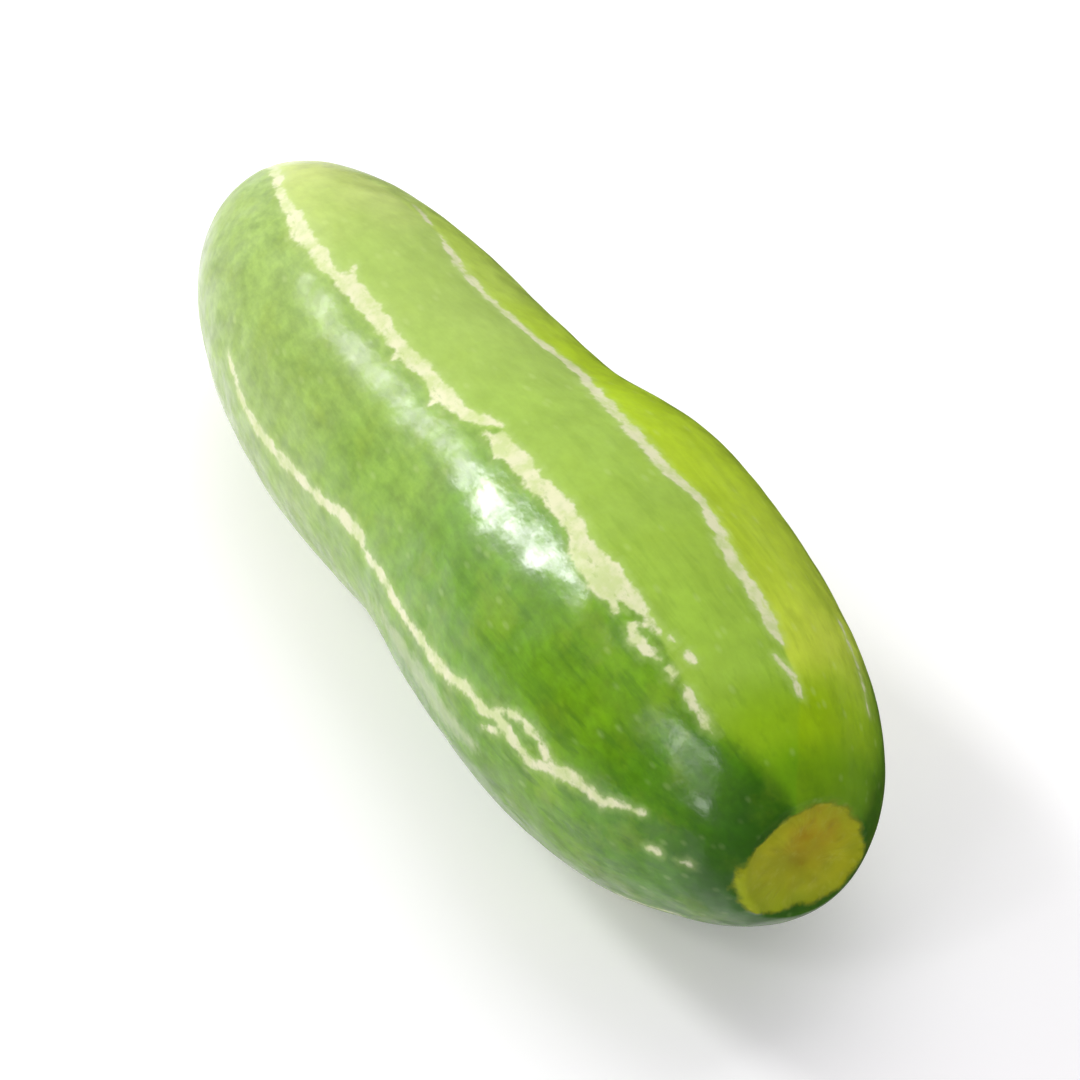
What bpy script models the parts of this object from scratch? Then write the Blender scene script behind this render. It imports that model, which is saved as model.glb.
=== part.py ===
"""Ivy gourd: one small picked fruit, lying on its side on its two swellings.

The fruit grew as one piece, so it is one closed solid. It starts as a sphere whose two poles become
the stem end (+X) and the blossom end (-X). Each point of the sphere is moved to
its place on the fruit by its two angles: the angle from the stem pole gives the place along
the fruit, and the angle round the long axis (0 at +Y, 90 degrees on top) gives the side.
The origin is the middle of the underside of the fruit's box, with +Z up.
"""

import math

import bmesh
import bpy
import numpy as np

MM = 0.001

# Body: two half ellipsoids that meet at the widest ring, drawn in by a broad waist
BODY_RADIUS = 11.6 * MM
STEM_HALF = 26.7 * MM
BLOOM_HALF = 35.8 * MM
WAIST_DEPTH = 0.186
WAIST_X = -8.1 * MM
WAIST_WIDTH = 15.5 * MM

# Sideways bend, an S: this far to one side at BEND_AT from the middle, and to the other at the other end
BEND = -0.84 * MM
BEND_AT = 30.0 * MM

# Soft lengthwise angles of the skin, between the stripes
LOBES = 5
LOBE_HEIGHT = 0.09 * MM
LOBE_START = 100.0

# Swells and dents: place along the fruit, side in degrees, height, and reach each way
SWELLS = (
    (-15.8 * MM, 207.0, 0.15 * MM, 4.7 * MM),
    (-5.8 * MM, 215.0, -0.39 * MM, 4.2 * MM),
    (14.8 * MM, 215.0, 0.19 * MM, 4.7 * MM),
    (21.1 * MM, 250.0, -0.45 * MM, 4.2 * MM),
    (-25.8 * MM, 40.0, -0.28 * MM, 4.7 * MM),
    (1.1 * MM, 33.0, 0.52 * MM, 5.3 * MM),
    (14.2 * MM, 20.0, -0.28 * MM, 4.2 * MM),
    (-8.0 * MM, 322.0, -0.22 * MM, 5.5 * MM),
    (10.5 * MM, 312.0, 0.20 * MM, 6.0 * MM),
    (-27.0 * MM, 300.0, 0.16 * MM, 4.5 * MM),
    (-17.5 * MM, 32.0, -0.50 * MM, 7.0 * MM),
    (-2.0 * MM, 33.0, 0.42 * MM, 4.6 * MM),
)
SWELL_TURN = 40.0

# Stem scar: the flat left by the stalk, a shallow dish inside a low lip, turned a little upwards
SCAR_CUT = 1.37 * MM
SCAR_TILT = 0.12
DISH_DEPTH = 0.20 * MM
LIP_HEIGHT = 0.10 * MM
LIP_WIDTH = 0.40 * MM
SCAR_EDGE = 0.12 * MM

# Blossom end: a small nipple where the flower dropped off
NIPPLE_HEIGHT = 0.55 * MM
NIPPLE_RADIUS = 1.5 * MM

# The two resting spots are this deep in the round of the swellings
FLAT_DEPTH = 0.20 * MM
FLAT_SNAP = 0.02 * MM

# Fineness of the faceted skin
SIDES = 48
RINGS = 60
RIM_PULL = 0.6
RIM_REACH = math.radians(9.0)

SKIN_COLOUR = (0.19, 0.38, 0.05, 1.0)
SKIN_ROUGHNESS = 0.32


def scar_rise():
    """Height of the scar's middle over the long axis: the tilt carries it up the round of the end."""
    return SCAR_TILT * BODY_RADIUS**2 / STEM_HALF


def scar_radius():
    """Radius of the scar's edge, where the tilted plane cuts the body."""
    level = BODY_RADIUS * math.sqrt(1.0 - ((STEM_HALF - SCAR_CUT) / STEM_HALF) ** 2)
    return math.hypot(level, scar_rise())


def crowd_rings(angle):
    """Ring angles drawn towards the rim of the scar, so that the rim has enough facets."""
    offset = angle - math.acos(1.0 - SCAR_CUT / STEM_HALF)
    return angle - RIM_PULL * offset * np.exp(-((offset / RIM_REACH) ** 2))


def smaller_of(first, second, blend):
    """The smaller of two lengths, with the corner between them rounded over the blend."""
    return 0.5 * (first + second - np.sqrt((first - second) ** 2 + blend**2))


def turn_from(side, centre):
    """Signed turn in degrees from a side of the fruit to another, the short way round."""
    return (side - centre + 180.0) % 360.0 - 180.0


def skin_radius(x, angle, side):
    """Distance of the skin from the centre line: the ellipse, less the waist, with lobes and swells."""
    waist = 1.0 - WAIST_DEPTH * np.exp(-(((x - WAIST_X) / WAIST_WIDTH) ** 2))
    radius = BODY_RADIUS * np.sin(angle) * waist
    fade = np.sin(angle) ** 2
    radius = radius + LOBE_HEIGHT * fade * np.cos(np.radians(LOBES * (side - LOBE_START)))
    for swell_x, swell_side, height, reach in SWELLS:
        along = (x - swell_x) / reach
        around = turn_from(side, swell_side) / SWELL_TURN
        radius = radius + height * fade * np.exp(-(along**2) - around**2)
    return radius


def scar_face(wide, high):
    """Place along the fruit of the scar's face: a tilted dish that rises to a lip at its edge."""
    edge = scar_radius()
    reach = np.hypot(wide, high - scar_rise())
    dish = DISH_DEPTH * np.clip(1.0 - (reach / edge) ** 2, 0.0, 1.0)
    lip = LIP_HEIGHT * np.exp(-(((reach - edge) / LIP_WIDTH) ** 2))
    return STEM_HALF - SCAR_CUT - SCAR_TILT * high - dish + lip


def fruit_points(angle, side):
    """Points of the skin for angles from the stem pole and sides round the long axis."""
    x = np.cos(angle) * np.where(angle < math.pi / 2.0, STEM_HALF, BLOOM_HALF)
    radius = skin_radius(x, angle, side)
    nipple = NIPPLE_HEIGHT * np.exp(-((radius / NIPPLE_RADIUS) ** 2)) * (x < 0.0)
    wide = radius * np.cos(np.radians(side))
    high = radius * np.sin(np.radians(side))
    y = BEND * (x / BEND_AT) ** 3 + wide
    x = smaller_of(x, scar_face(wide, high), SCAR_EDGE) - nipple
    return np.stack((x, y, high), axis=1)


def settle(points):
    """The points with the line that touches both swellings from below brought level with the ground.

    Of all lines through a point on each side of the waist, that line is the lowest at the waist.
    """
    bloom = points[points[:, 0] < WAIST_X]
    stem = points[points[:, 0] > WAIST_X]
    slope = (stem[None, :, 2] - bloom[:, 2, None]) / (stem[None, :, 0] - bloom[:, 0, None])
    at_waist = bloom[:, 2, None] + slope * (WAIST_X - bloom[:, 0, None])
    lowest = np.unravel_index(at_waist.argmin(), at_waist.shape)
    ground = at_waist[lowest] + slope[lowest] * (points[:, 0] - WAIST_X)
    settled = points.copy()
    settled[:, 2] -= ground + FLAT_DEPTH
    return settled


def centred(points):
    """The points moved so that the middle of their box is over the origin."""
    middle = (points.min(axis=0) + points.max(axis=0)) / 2.0
    return points - np.array((middle[0], middle[1], 0.0))


def cut_flats(mesh):
    """Cut the skin off at the ground and close the two openings with flat faces."""
    bmesh.ops.bisect_plane(
        mesh,
        geom=mesh.verts[:] + mesh.edges[:] + mesh.faces[:],
        dist=FLAT_SNAP,
        plane_co=(0.0, 0.0, 0.0),
        plane_no=(0.0, 0.0, -1.0),
        use_snap_center=True,
        clear_outer=True,
    )
    rims = [edge for edge in mesh.edges if edge.is_boundary]
    bmesh.ops.holes_fill(mesh, edges=rims)
    bmesh.ops.recalc_face_normals(mesh, faces=mesh.faces)


def build_skin_material():
    """The fruit's green, moist and slightly waxy skin."""
    material = bpy.data.materials.new("gourd_skin")
    material.use_nodes = True
    shader = material.node_tree.nodes["Principled BSDF"]
    shader.inputs["Base Color"].default_value = SKIN_COLOUR
    shader.inputs["Roughness"].default_value = SKIN_ROUGHNESS
    shader.inputs["Metallic"].default_value = 0.0
    material.diffuse_color = SKIN_COLOUR
    return material


def build_gourd(collection):
    """Grow the fruit from a sphere, lay it on the ground and cut its two resting spots."""
    skin = bmesh.new()
    bmesh.ops.create_uvsphere(skin, u_segments=SIDES, v_segments=RINGS, radius=1.0)
    sphere = np.array([vertex.co[:] for vertex in skin.verts])
    angle = crowd_rings(np.arccos(np.clip(sphere[:, 2], -1.0, 1.0)))
    side = np.degrees(np.arctan2(sphere[:, 1], sphere[:, 0]))
    for vertex, place in zip(skin.verts, centred(settle(fruit_points(angle, side)))):
        vertex.co = place
    cut_flats(skin)

    mesh = bpy.data.meshes.new("gourd")
    skin.to_mesh(mesh)
    skin.free()
    mesh.materials.append(build_skin_material())
    mesh.shade_smooth()
    mesh.set_sharp_from_angle(angle=math.radians(50.0))
    gourd = bpy.data.objects.new("gourd", mesh)
    collection.objects.link(gourd)
    return gourd


def main():
    for leftover in list(bpy.data.objects):
        bpy.data.objects.remove(leftover, do_unlink=True)
    collection = bpy.data.collections.new("ivy_gourd")
    bpy.context.scene.collection.children.link(collection)
    build_gourd(collection)


main()
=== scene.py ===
# %% [markdown]
# An ivy gourd, picked green
#
# The ivy gourd is the small striped fruit of a climbing vine, about as long as a thumb. This one
# has two plump swellings with a waist between them, broken pale stripes from end to end, a flat
# scar where the stalk came off, and a small dry tip where the flower was. It grew as one piece, so
# the lesson makes one skin and one finish for it, then the table, the light and the camera. The
# plain solid in the frame says how big it is and where it lies.

import math

import bpy
import numpy as np
from mathutils import Matrix, Vector


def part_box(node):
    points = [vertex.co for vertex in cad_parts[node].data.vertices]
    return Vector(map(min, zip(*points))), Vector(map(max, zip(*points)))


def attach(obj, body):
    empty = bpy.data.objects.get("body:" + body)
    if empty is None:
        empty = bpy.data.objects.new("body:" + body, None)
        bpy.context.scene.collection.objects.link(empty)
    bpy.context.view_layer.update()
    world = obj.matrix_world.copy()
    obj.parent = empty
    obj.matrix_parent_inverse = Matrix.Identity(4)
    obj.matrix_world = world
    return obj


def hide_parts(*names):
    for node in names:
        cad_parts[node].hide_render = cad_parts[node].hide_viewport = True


MM = 0.001
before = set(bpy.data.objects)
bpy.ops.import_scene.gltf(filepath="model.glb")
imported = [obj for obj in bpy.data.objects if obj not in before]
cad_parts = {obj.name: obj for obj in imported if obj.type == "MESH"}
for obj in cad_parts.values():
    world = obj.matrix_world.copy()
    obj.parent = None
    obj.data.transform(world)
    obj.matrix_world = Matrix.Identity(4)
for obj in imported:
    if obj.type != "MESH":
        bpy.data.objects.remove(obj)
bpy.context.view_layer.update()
low, high = (np.array(corner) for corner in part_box("gourd"))
print("solid gourd, mm:", ((high - low) / MM).round(2))

# %% [markdown]
# The body
#
# A fruit like this could be sculpted, or lofted through rings drawn by eye. A formula is better
# here, because every later step, such as a stripe or a lump, can then ask where it is on the
# fruit: so far along it, and so far round it. The body is two half ellipsoids that meet at the
# widest ring, drawn in by a broad waist. Five soft lengthwise angles and a few swells and dents
# keep it from looking turned on a lathe.

# %% Body values
BODY_RADIUS = 11.6 * MM
STEM_HALF = 26.7 * MM
BLOOM_HALF = 35.8 * MM
WAIST_DEPTH = 0.186
WAIST_X = -8.1 * MM
WAIST_WIDTH = 15.5 * MM

# Sideways bend, an S: this far to one side at BEND_AT from the middle, and to the other at the other end
BEND = -0.84 * MM
BEND_AT = 30.0 * MM

LOBES = 5
LOBE_HEIGHT = 0.09 * MM
LOBE_START = 100.0

# Swells and dents: mm along the fruit, side in degrees, height in mm, and reach each way in mm
SWELLS = (
    (-15.8, 207.0, 0.15, 4.7),
    (-5.8, 215.0, -0.39, 4.2),
    (14.8, 215.0, 0.19, 4.7),
    (21.1, 250.0, -0.45, 4.2),
    (-25.8, 40.0, -0.28, 4.7),
    (1.1, 33.0, 0.52, 5.3),
    (14.2, 20.0, -0.28, 4.2),
    (-8.0, 322.0, -0.22, 5.5),
    (10.5, 312.0, 0.20, 6.0),
    (-27.0, 300.0, 0.16, 4.5),
    (-17.5, 32.0, -0.50, 7.0),
    (-2.0, 33.0, 0.42, 4.6),
)
SWELL_TURN = 40.0

# Stem scar: the flat left by the stalk, a shallow dish inside a low lip, turned a little upwards
SCAR_CUT = 1.37 * MM
SCAR_TILT = 0.12
DISH_DEPTH = 0.20 * MM
LIP_HEIGHT = 0.10 * MM
LIP_WIDTH = 0.40 * MM
SCAR_EDGE = 0.12 * MM
SCAR_RISE = SCAR_TILT * BODY_RADIUS**2 / STEM_HALF
LEVEL_RADIUS = BODY_RADIUS * math.sqrt(1.0 - ((STEM_HALF - SCAR_CUT) / STEM_HALF) ** 2)
SCAR_RADIUS = math.hypot(LEVEL_RADIUS, SCAR_RISE)

# Blossom end: a small nipple where the flower dropped off
NIPPLE_HEIGHT = 0.55 * MM
NIPPLE_RADIUS = 1.5 * MM

# The resting spots are this deep in the round of the swellings
FLAT_DEPTH = 0.20 * MM
print("scar radius, mm:", round(SCAR_RADIUS / MM, 2))

# %% Body formula
def turn_from(side, centre):
    """Signed turn in degrees from a side of the fruit to another, the short way round."""
    return (side - centre + 180.0) % 360.0 - 180.0


def smaller_of(first, second, blend):
    """The smaller of two lengths, with the corner between them rounded over the blend."""
    return 0.5 * (first + second - np.sqrt((first - second) ** 2 + blend**2))


def step_up(value, start, stop):
    """0 below start, 1 above stop, and a smooth rise between them: 3t squared less 2t cubed."""
    t = np.clip((value - start) / (stop - start), 0.0, 1.0)
    return t * t * (3.0 - 2.0 * t)


def skin_radius(x, angle, side):
    """Distance of the skin from the centre line.

    It is the body radius times the sine of the angle from the stem pole, less the waist, which is
    a bell curve along the fruit. A cosine of five times the side adds the lobes, and a bell curve
    along and round the fruit adds each swell.
    """
    waist = 1.0 - WAIST_DEPTH * np.exp(-(((x - WAIST_X) / WAIST_WIDTH) ** 2))
    radius = BODY_RADIUS * np.sin(angle) * waist
    fade = np.sin(angle) ** 2
    radius = radius + LOBE_HEIGHT * fade * np.cos(np.radians(LOBES * (side - LOBE_START)))
    for place, swell_side, height, reach in SWELLS:
        along = (x - place * MM) / (reach * MM)
        around = turn_from(side, swell_side) / SWELL_TURN
        radius = radius + height * MM * fade * np.exp(-(along**2) - around**2)
    return radius


def scar_face(wide, high):
    """Place along the fruit of the scar's face: a tilted dish that rises to a lip at its edge."""
    reach = np.hypot(wide, high - SCAR_RISE)
    dish = DISH_DEPTH * np.clip(1.0 - (reach / SCAR_RADIUS) ** 2, 0.0, 1.0)
    lip = LIP_HEIGHT * np.exp(-(((reach - SCAR_RADIUS) / LIP_WIDTH) ** 2))
    return STEM_HALF - SCAR_CUT - SCAR_TILT * high - dish + lip


def fruit_skin(angle, side):
    """Points of the skin, and the place along the fruit and the radius that they were made from.

    The place along is the cosine of the angle times the half length. The point stands off the
    centre line by the radius, towards its side, and the centre line bends by a cube of the place.
    """
    along = np.cos(angle) * np.where(angle < math.pi / 2.0, STEM_HALF, BLOOM_HALF) + 0.0 * side
    radius = skin_radius(along, angle, side)
    nipple = NIPPLE_HEIGHT * np.exp(-((radius / NIPPLE_RADIUS) ** 2)) * (along < 0.0)
    wide = radius * np.cos(np.radians(side))
    high = radius * np.sin(np.radians(side))
    y = BEND * (along / BEND_AT) ** 3 + wide
    x = smaller_of(along, scar_face(wide, high), SCAR_EDGE) - nipple
    return np.stack((x, y, high), axis=-1), along, radius


print("radius on top of the widest ring, mm:", round(float(skin_radius(0.0, math.pi / 2.0, 90.0)) / MM, 2))

# %% [markdown]
# The grid
#
# A ball made of rings and sides closes by itself round the fruit, and one point at each pole
# closes the ends. Equal steps of angle would crowd the rings at the poles and leave them wide on
# the back, so the rings stand at equal steps of skin length instead. Round the scar and at the
# tip, where the small detail is, a step counts for more, and the rings stand closer.

# %% Rings and sides
RINGS = 330
SIDES = 300
RIM_CROWD = 2.6
TIP_CROWD = 1.4
CROWD_REACH = math.radians(11.0)
PROFILE_STEPS = 4000


def ring_angles():
    """Angles of the rings from the stem pole, at equal steps of the weighted length of the profile."""
    fine = np.linspace(0.0, math.pi, PROFILE_STEPS + 1)
    x = np.cos(fine) * np.where(fine < math.pi / 2.0, STEM_HALF, BLOOM_HALF)
    x = np.minimum(x, STEM_HALF - SCAR_CUT)
    radius = BODY_RADIUS * np.sin(fine)
    middle = 0.5 * (fine[1:] + fine[:-1])
    rim = math.acos(1.0 - SCAR_CUT / STEM_HALF)
    weight = 1.0 + RIM_CROWD * np.exp(-(((middle - rim) / CROWD_REACH) ** 2))
    weight += TIP_CROWD * np.exp(-(((middle - math.pi) / CROWD_REACH) ** 2))
    length = np.concatenate(([0.0], np.cumsum(np.hypot(np.diff(x), np.diff(radius)) * weight)))
    return np.interp(np.linspace(0.0, length[-1], RINGS + 1), length, fine)[1:-1]


angle = ring_angles()[:, None]
side = (np.arange(SIDES) * (360.0 / SIDES))[None, :]
skin, along, radius = fruit_skin(angle, side)
side = side + 0.0 * along
print("grid of", skin.shape[0], "rings by", skin.shape[1], "sides")

# %% [markdown]
# Where the stripes run
#
# The stripes are strands of pale cells over the fruit's inner veins. They could be painted with a
# noise stretched along the fruit, but then they would be any stripes. Here each stripe that can be
# seen is a listed route, with its wobbles, spurs and breaks: a few points, each with a place
# along the fruit, a side and a half width in degrees. The last strand is so faint that it will only
# lighten the green.

# %% Stripe routes
# Each point: mm from the widest ring towards the stem end, side in degrees, half width in degrees
TOP_STRIPE = (
    ((-34.8, 86, 4.0), (-33.4, 91, 3.2), (-31, 97, 2.4), (-30, 101, 1.7), (-29, 103.5, 1.6),
     (-28.5, 104, 0.9), (-27.5, 105.5, 2.3), (-26, 106, 3.0), (-25, 107, 2.9), (-24.3, 109, 2.8),
     (-22.5, 108, 2.3), (-21, 109, 2.7), (-19.8, 108.5, 1.9), (-18, 107, 3.1), (-16, 107, 3.2),
     (-14, 107.5, 2.4), (-11, 107.5, 2.2), (-9.5, 107, 2.5), (-8, 108, 3.1), (-6.4, 107.5, 2.3),
     (-5.2, 106.5, 2.0), (-4.2, 103.2, 1.7), (-3.3, 101.2, 0.3)),
    ((-3.5, 106, 0.4), (-2.5, 104.8, 2.7), (-1.4, 105, 3.4), (0, 105, 3.0), (2, 105.6, 2.7),
     (4.4, 104.8, 2.6), (6, 105.5, 2.4), (7, 107.8, 3.3), (8, 108.6, 4.3), (9.4, 108.8, 4.9),
     (10.6, 108.4, 4.6), (11.4, 107.4, 3.0), (12.4, 107, 1.7), (13.6, 106, 0.4)),
    ((10.6, 111, 2.2), (11.9, 112, 0.7)),
    ((-19.5, 102.4, 0.7), (-18.4, 105.4, 1.2)),
    ((-12.4, 109, 1.4), (-12.1, 111.6, 0.9)),
    ((-8, 110, 1.6), (-7.7, 112.8, 1.2)),
    ((-1.8, 107.5, 1.6), (-1.4, 109.8, 0.8)),
    ((13.1, 111.8, 1.0), (14, 113, 2.0), (14.7, 113.4, 1.6), (15.6, 111.6, 0.6)),
    ((13.2, 110.4, 0.7), (13.8, 106.2, 0.6)),
    ((14.2, 106.4, 0.9), (14.4, 106.2, 0.9)),
    ((15.0, 104.6, 1.0), (15.3, 104.4, 0.7)),
    ((16.2, 103.6, 0.6), (16.8, 103, 0.6)),
    ((16.4, 111.6, 1.1), (16.8, 111.6, 1.0)),
    ((17.6, 110.6, 0.4), (18.1, 111.2, 1.0), (19.1, 112, 0.9), (19.8, 112.6, 1.0), (20.3, 112.8, 0.3)),
)
RIGHT_STRIPE = (
    ((-25, 55, 0.34), (-23, 58, 0.69), (-21.4, 61, 0.43)),
    ((-20.7, 61.5, 0.34), (-19, 64, 1.29), (-17, 66.5, 1.55), (-14, 67, 1.55), (-11, 65.5, 1.46),
     (-9.6, 63, 1.46), (-7, 61, 1.81), (-6, 61.2, 1.98), (-5, 63.8, 1.81), (-2, 67.5, 1.55),
     (2, 70, 1.72), (4, 70.5, 1.81), (5.2, 69.3, 1.81), (6.4, 67.2, 1.46), (8, 67.6, 1.63),
     (10, 70, 1.89), (12, 72, 2.24), (13.4, 71.4, 1.98), (16, 71.6, 2.32), (17.5, 71, 0.34)),
    ((18.1, 76, 0.26), (18.6, 74.8, 1.03), (19.4, 72.6, 1.29), (20.4, 72.4, 0.34)),
)
LEFT_STRIPE = (
    ((-22.6, 161.5, 0.3), (-21.5, 163, 1.2), (-20, 167, 1.5), (-19, 169, 1.6), (-17, 170, 1.8),
     (-15, 169.6, 2.0), (-12, 168, 1.7), (-10, 166.5, 1.6), (-9, 164, 1.9), (-8, 162.6, 2.2),
     (-6, 162.2, 2.0), (-5.3, 164.6, 1.3), (-2, 164.6, 1.4), (0, 167, 1.4), (3, 166.5, 1.5),
     (4, 167, 1.9), (5.2, 166.8, 1.7), (7, 164, 1.7), (9, 164.4, 1.7), (10, 162.6, 2.1), (11, 163, 1.7),
     (12, 165, 1.3), (13, 166.8, 1.2), (14, 165, 1.3), (15, 163, 2.1), (16, 161.2, 1.7), (18, 162, 1.4),
     (19, 159, 1.3), (20.2, 156.4, 0.3)),
    ((9.8, 161.6, 1.0), (10.6, 158.6, 1.0), (11.6, 157.4, 1.0), (13, 158, 0.9), (14, 161, 1.2),
     (15, 162.6, 1.4)),
    ((9.2, 169.6, 0.4), (10.2, 166.6, 1.1)),
    ((21.2, 169.5, 0.9), (21.5, 169.5, 0.9)),
    ((22.8, 169.5, 0.7), (23.1, 169.3, 0.6)),
)
EDGE_STRIPE = (
    ((15, 34, 0.1), (18, 32, 0.35), (20.6, 31, 0.1)),
)
FAINT_STRIPE = (
    ((-2, 175, 1.0), (0.5, 178, 3.4), (3.5, 180, 4.2), (6.5, 180, 3.6), (9, 178, 1.2)),
)

# %% [markdown]
# The stripes underneath
#
# The fruit can be turned over, so its hidden side has stripes too. They could be listed as
# well, but nobody knows how these run, so a rule draws routes of the same kind: a slow sine for the
# wander, a random step for the wobble, and here and there a break. The random numbers start from a
# fixed seed, so every run of the lesson grows the same fruit.

# %% Routes for the underside
HIDDEN_SIDES = (217.0, 250.0, 284.0, 318.0, 351.0)
HIDDEN_RUN = (-33.5, 21.0)
HIDDEN_STEP = 1.7
HIDDEN_GAP = 0.12
HIDDEN_WANDER = 3.0
HIDDEN_WANDER_LENGTH = 9.0
HIDDEN_WOBBLE = 0.9
HIDDEN_HALF_WIDTHS = (1.2, 3.2)
HIDDEN_BREAK_WIDTH = 0.4
STRIPE_SEED = 31


def hidden_stripe(middle, random):
    """Runs of a stripe near one side, broken at random: a slow wander, a quick wobble and a half width."""
    place = np.arange(*HIDDEN_RUN, HIDDEN_STEP)
    wander = HIDDEN_WANDER * np.sin(place / HIDDEN_WANDER_LENGTH + random.uniform(0.0, 2.0 * math.pi))
    centre = middle + wander + random.normal(0.0, HIDDEN_WOBBLE, place.size)
    half = random.uniform(*HIDDEN_HALF_WIDTHS, place.size)
    breaks = np.flatnonzero(random.uniform(size=place.size) < HIDDEN_GAP)
    half[breaks] = HIDDEN_BREAK_WIDTH
    points = list(zip(place.tolist(), centre.tolist(), half.tolist()))
    cuts = [0, *[int(b) + 1 for b in breaks if 1 < b < place.size - 2], place.size]
    return tuple(tuple(points[start:stop]) for start, stop in zip(cuts, cuts[1:]) if stop - start > 1)


stripe_random = np.random.default_rng(STRIPE_SEED)
hidden_stripes = [hidden_stripe(middle, stripe_random) for middle in HIDDEN_SIDES]
print("runs in the hidden stripes:", [len(runs) for runs in hidden_stripes])

# %% [markdown]
# From routes to numbers
#
# The finish can't read a list of routes, but it can read one number at each point of the skin. An
# image could hold the stripes, but it would need a flat map of the fruit and a seam. So each point
# gets the depth at which it lies in a stripe: more than zero inside, less than zero outside. Where
# that number is cut, and how softly, is left to the finish.

# %% Distance into a stripe
NO_LENGTH = 1e-12


def inside_band(runs):
    """How deep in a stripe each point of the skin lies, in metres, and less than zero outside it.

    The skin is unrolled about each point: along the fruit, and round it as angle times radius.
    Each piece of a route is a straight stretch there, and the depth is the half width at the
    nearest place on it, less the distance to that place. The deepest stretch counts.
    """
    deepest = np.full(along.shape, -1.0)
    for run in runs:
        for (place, middle, half), (next_place, next_middle, next_half) in zip(run, run[1:]):
            run_along = (next_place - place) * MM
            run_round = math.radians(next_middle - middle) * radius
            off_along = along - place * MM
            off_round = np.radians(turn_from(side, middle)) * radius
            length_squared = run_along**2 + run_round**2 + NO_LENGTH
            nearest = np.clip((off_along * run_along + off_round * run_round) / length_squared, 0.0, 1.0)
            distance = np.hypot(off_along - nearest * run_along, off_round - nearest * run_round)
            width = np.radians(half + nearest * (next_half - half)) * radius
            deepest = np.maximum(deepest, width - distance)
    return deepest


all_stripes = (TOP_STRIPE, RIGHT_STRIPE, LEFT_STRIPE, EDGE_STRIPE, *hidden_stripes)
stripe_depth = np.max([inside_band(runs) for runs in all_stripes], axis=0)
faint_depth = inside_band(FAINT_STRIPE)
print("share of the skin that is stripe:", round(float((stripe_depth > 0.0).mean()), 3))

# %% [markdown]
# The three greens
#
# The skin changes its green at the stripes, as if each strip between two of them had ripened by
# itself: a cool leaf green to the left of the top stripe, a lighter lime to its right, and a
# yellower green beyond the right stripe. A texture could not know where those edges are. The
# routes do, so each point keeps how much of the lime and of the yellow it has. On the far side, with
# no stripe to stop it, the yellow fades out over a wide turn, and higher up near the stem.

# %% Green of each side
# All in degrees: half the width of each edge, and the side where the yellow ends
TONE_EDGE = 0.5
STEM_TONE_EDGE = 7.0
GOLD_START = 318.0
GOLD_STEM_START = 391.0
GOLD_EDGE = 10.0
GOLD_STEM_EDGE = 22.0
FAR_ROUND = 150.0

# Where along the fruit the yellow's far edge and the lime's edge change towards the stem end
GOLD_CHANGE = (5.0 * MM, 20.0 * MM)
LIME_CHANGE = (15.0 * MM, 22.5 * MM)

# Past its last dash each edge runs on through these points: mm along, side in degrees
TOP_END = ((20.0, 112.5), (22.5, 104.0), (25.0, 99.0))
RIGHT_END = ((20.4, 72.5), (23.2, 84.0), (24.9, 95.0))


def stripe_middle(runs, end):
    """Side of a stripe's middle at each point: its points joined in order of their place along."""
    points = sorted(point[:2] for run in runs for point in run if len(run) > 4 and point[0] < end[0][0])
    place, middle = np.array([*points, *end]).T
    return np.interp(along / MM, place, middle)


to_top = turn_from(side, stripe_middle(TOP_STRIPE, TOP_END))
to_right = turn_from(side, stripe_middle(RIGHT_STRIPE, RIGHT_END))
near_stem_end = step_up(along, *GOLD_CHANGE)
to_back = turn_from(side, GOLD_START + (GOLD_STEM_START - GOLD_START) * near_stem_end)
back_edge = GOLD_EDGE + (GOLD_STEM_EDGE - GOLD_EDGE) * near_stem_end
top_edge = TONE_EDGE + STEM_TONE_EDGE * step_up(along, *LIME_CHANGE)
past_top = step_up(to_top / top_edge, -1.0, 1.0)
past_right = step_up(to_right, -2.0 * TONE_EDGE, 2.0 * TONE_EDGE)
from_back = step_up(to_back, -back_edge, back_edge) * (to_back < FAR_ROUND)
gold = from_back * np.where(np.abs(to_right) < 90.0, 1.0 - past_right, 1.0) * (to_right < 90.0)
lime = (1.0 - past_top) * np.minimum(past_right + gold, 1.0) * (np.abs(to_top) < 90.0)
print("lime and yellow shares:", round(float(lime.mean()), 3), round(float(gold.mean()), 3))

# %% [markdown]
# Where the wax lies
#
# On top of the blossom half a bloom of wax dulls the shine, while the stem half is bright and moist.
# It could be painted by hand, but a soft step along the fruit times a bell curve round it puts it in
# place with three numbers. Each point keeps how much wax it has, and the gloss will read that.

# %% Wax bloom
WAX_END = (-5.0 * MM, 0.0)
WAX_SIDE = 112.0
WAX_TURN = 38.0
wax = (1.0 - step_up(along, *WAX_END)) * np.exp(-((turn_from(side, WAX_SIDE) / WAX_TURN) ** 2))
print("share of the skin under wax:", round(float((wax > 0.5).mean()), 3))

# %% [markdown]
# How far from the ends
#
# The scar and the dry tip are drawn by how far each point is from the middle of its end. Plain
# circles would do for a machined part, but a stalk leaves a lopsided oval. Its edge is a circle with
# two and three soft waves round it, so a reach of 1 is the edge of the scar all the way round.

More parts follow.
